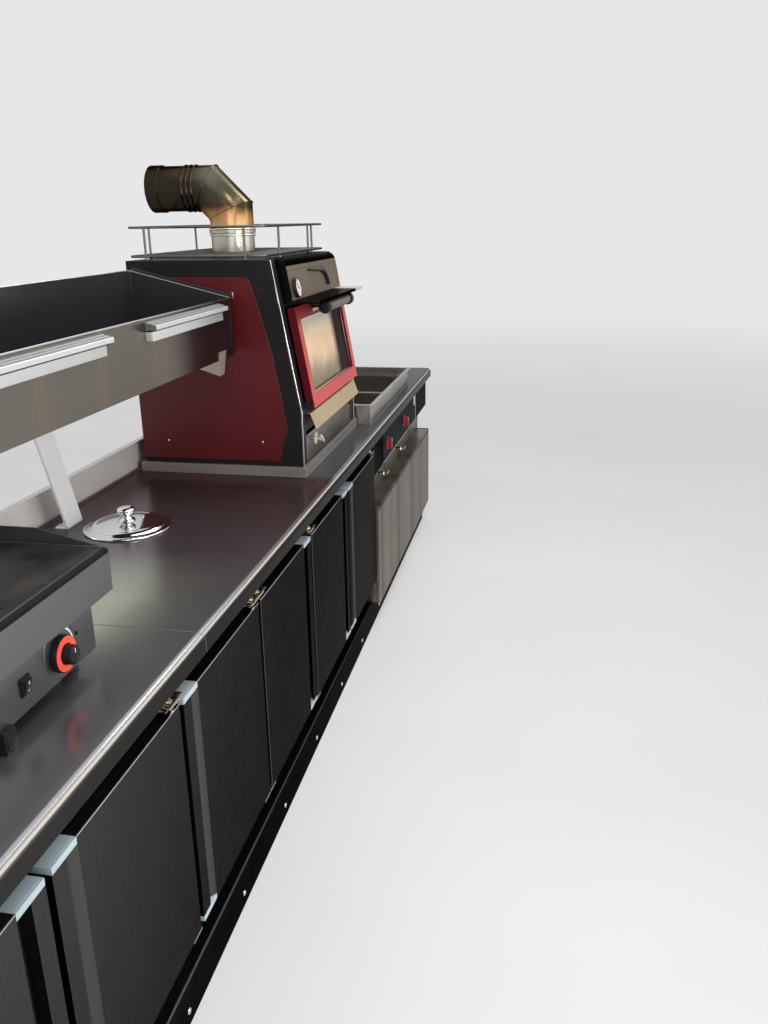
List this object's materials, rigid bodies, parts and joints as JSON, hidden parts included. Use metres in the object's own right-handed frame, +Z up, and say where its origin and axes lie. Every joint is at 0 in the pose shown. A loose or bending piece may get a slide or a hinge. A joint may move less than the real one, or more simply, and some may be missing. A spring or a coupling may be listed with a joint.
{
  "type": "food truck kitchen line",
  "caption": "Stainless galley counter with hinged cupboards, charcoal oven with flue and rack, griddle, fryer and an overhead trough on leaning legs.",
  "frame": {"origin": "middle of the footprint, on the floor", "axes": "+X along the counter towards the fryer end, +Y towards the wall behind it, +Z up"},
  "size_m": [4.47, 0.725, 1.893],
  "materials": {
    "worktop_steel": "satin, grained along the counter",
    "door_steel": "satin, darker reflections",
    "carcass_steel": "satin",
    "kerb_steel": "satin",
    "bright_steel": "bright",
    "fryer_steel": "polished",
    "cap_plastic": "matt pale blue grey",
    "black_panel": "gloss black",
    "red_plastic": "gloss red",
    "black_plastic": "matt black",
    "oven_black": "satin black stove paint",
    "oven_red": "satin wine red",
    "door_red": "satin red",
    "chrome": "polished",
    "dial": "cream dial in a bright bezel",
    "oven_glass": "heat tinted",
    "grate_iron": "dark",
    "flue_steel": "heat tinted gold and bronze",
    "griddle_steel": "satin",
    "plate_iron": "seasoned black",
    "rail_aluminium": "anodised",
    "trough_steel": "satin"
  },
  "bodies": {
    "counter": {"kick_kerb": "kerb_steel", "plinth_beams": "carcass_steel", "cabinet_panels": "carcass_steel", "cabinet_shelves": "carcass_steel", "end_panels": "carcass_steel", "top_rail": "carcass_steel", "hinge_brackets": "bright_steel", "worktop": "worktop_steel", "fryer_top": "worktop_steel", "fryer_collar": "fryer_steel", "fryer_tanks": "fryer_steel", "fryer_fascia": "carcass_steel", "control_panel": "black_panel", "fryer_knobs": "red_plastic", "drain_taps": "chrome", "fryer_cabinet": "fryer_steel", "oven_platform": "fryer_steel", "oven_body": "oven_black", "oven_side_panels": "oven_red", "oven_trims": "chrome", "oven_console": "oven_black", "thermometer": "dial", "visor": "bright_steel", "oven_hinges": "oven_black", "drip_plate": "fryer_steel", "oven_grates": "grate_iron", "flue": "flue_steel", "wire_rack": "chrome", "griddle_body": "griddle_steel", "griddle_plate": "plate_iron", "griddle_guard": "black_plastic", "griddle_controls": "black_plastic", "griddle_feet": "black_plastic", "trough": "trough_steel", "trough_legs": "bright_steel", "ticket_rails": "rail_aluminium"},
    "oven_door": {"oven_door": "door_red", "oven_glass": "oven_glass", "door_handle": "black_plastic"},
    "ash_drawer": {"ash_drawer": "fryer_steel"},
    "pan_lid": {"pan_lid": "chrome"},
    "cupboard_door_1": {"door_1": "door_steel", "door_1_caps": "cap_plastic"},
    "cupboard_door_2": {"door_2": "door_steel", "door_2_caps": "cap_plastic"},
    "cupboard_door_3": {"door_3": "door_steel", "door_3_caps": "cap_plastic"},
    "cupboard_door_4": {"door_4": "door_steel", "door_4_caps": "cap_plastic"},
    "cupboard_door_5": {"door_5": "door_steel", "door_5_caps": "cap_plastic"},
    "cupboard_door_6": {"door_6": "door_steel", "door_6_caps": "cap_plastic"}
  },
  "joints": [
    {"name": "cupboard_door_1_hinge", "type": "hinge", "parent": "counter", "child": "cupboard_door_1", "pos_m": [-2.191, -0.3225, 0.505], "axis": [0, 0, -1], "range_deg": [0, 90]},
    {"name": "cupboard_door_2_hinge", "type": "hinge", "parent": "counter", "child": "cupboard_door_2", "pos_m": [-1.253, -0.3225, 0.505], "axis": [0, 0, 1], "range_deg": [0, 90]},
    {"name": "cupboard_door_3_hinge", "type": "hinge", "parent": "counter", "child": "cupboard_door_3", "pos_m": [-0.76, -0.3225, 0.505], "axis": [0, 0, 1], "range_deg": [0, 90]},
    {"name": "cupboard_door_4_hinge", "type": "hinge", "parent": "counter", "child": "cupboard_door_4", "pos_m": [-0.712, -0.3225, 0.505], "axis": [0, 0, -1], "range_deg": [0, 90]},
    {"name": "cupboard_door_5_hinge", "type": "hinge", "parent": "counter", "child": "cupboard_door_5", "pos_m": [-0.219, -0.3225, 0.505], "axis": [0, 0, -1], "range_deg": [0, 90]},
    {"name": "cupboard_door_6_hinge", "type": "hinge", "parent": "counter", "child": "cupboard_door_6", "pos_m": [0.719, -0.3225, 0.505], "axis": [0, 0, 1], "range_deg": [0, 90]},
    {"name": "oven_door_hinge", "type": "hinge", "parent": "counter", "child": "oven_door", "pos_m": [0.382, -0.2695, 1.12686], "axis": [1, 0, 0], "range_deg": [0, 95]},
    {"name": "ash_drawer_slide", "type": "slide", "parent": "counter", "child": "ash_drawer", "axis": [0, -1, 0], "range_m": [0, 0.3]},
    {"name": "pan_lid_lift", "type": "slide", "parent": "counter", "child": "pan_lid", "axis": [0, 0, 1], "range_m": [0, 0.25]}
  ]
}
